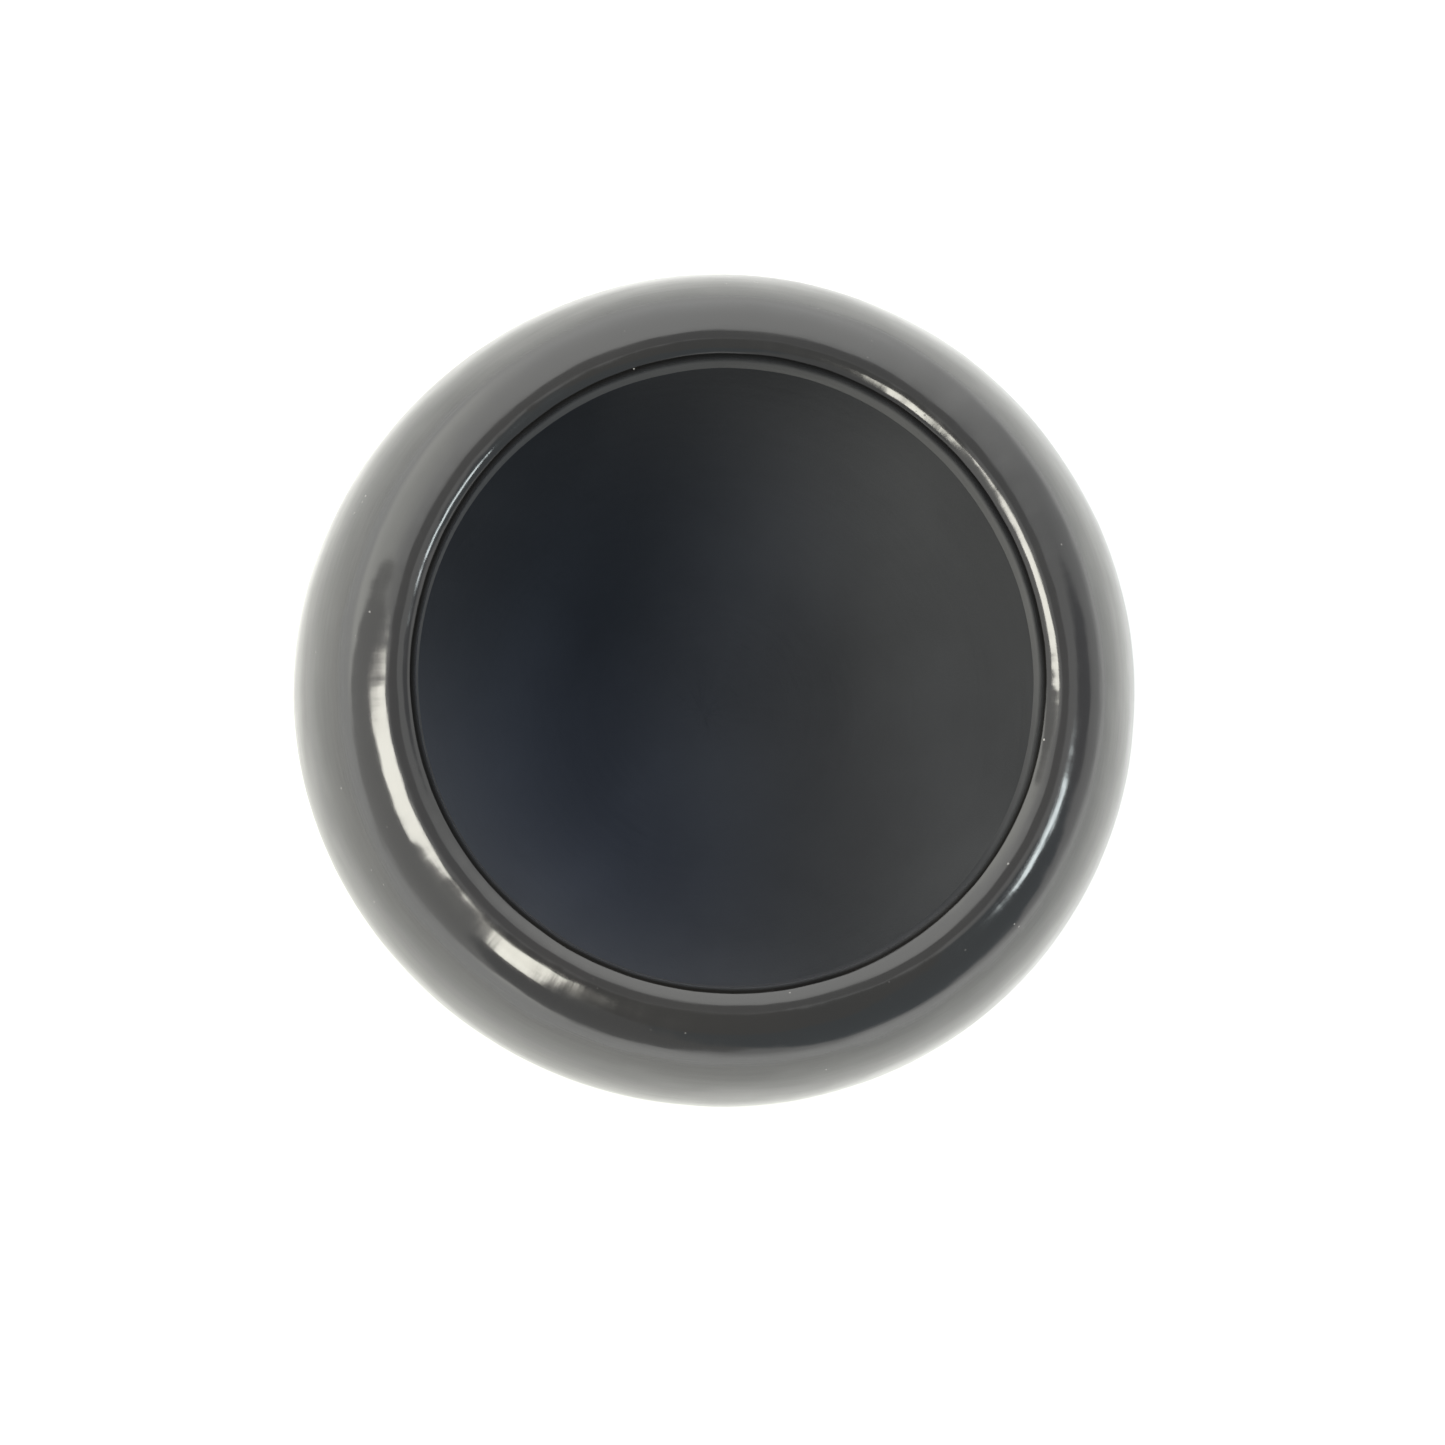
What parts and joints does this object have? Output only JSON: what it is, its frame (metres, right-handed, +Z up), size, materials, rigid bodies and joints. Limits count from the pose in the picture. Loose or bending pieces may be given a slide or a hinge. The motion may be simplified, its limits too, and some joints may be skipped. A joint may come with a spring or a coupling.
{
  "type": "black clay pot",
  "caption": "Round-bellied black clay pot with a wide open mouth, a thick rim rolled inwards, a burnished outside, a matt inside and a flat base.",
  "frame": {"origin": "centre of the flat base, on the surface the pot stands on", "axes": "+Z up through the mouth, +X along the slightly longer width of the belly"},
  "size_m": [0.1612, 0.1588, 0.1023],
  "materials": {
    "burnished_clay": "smoke-fired black clay, burnished to a soft shine outside and over the rim, matt inside",
    "raw_clay": "smoke-fired black clay, scraped and left matt"
  },
  "bodies": {
    "root": {"base_pat": "raw_clay", "lower_wall": "burnished_clay", "belly_course": "burnished_clay", "shoulder_course": "burnished_clay", "rim_roll": "burnished_clay"}
  },
  "joints": []
}
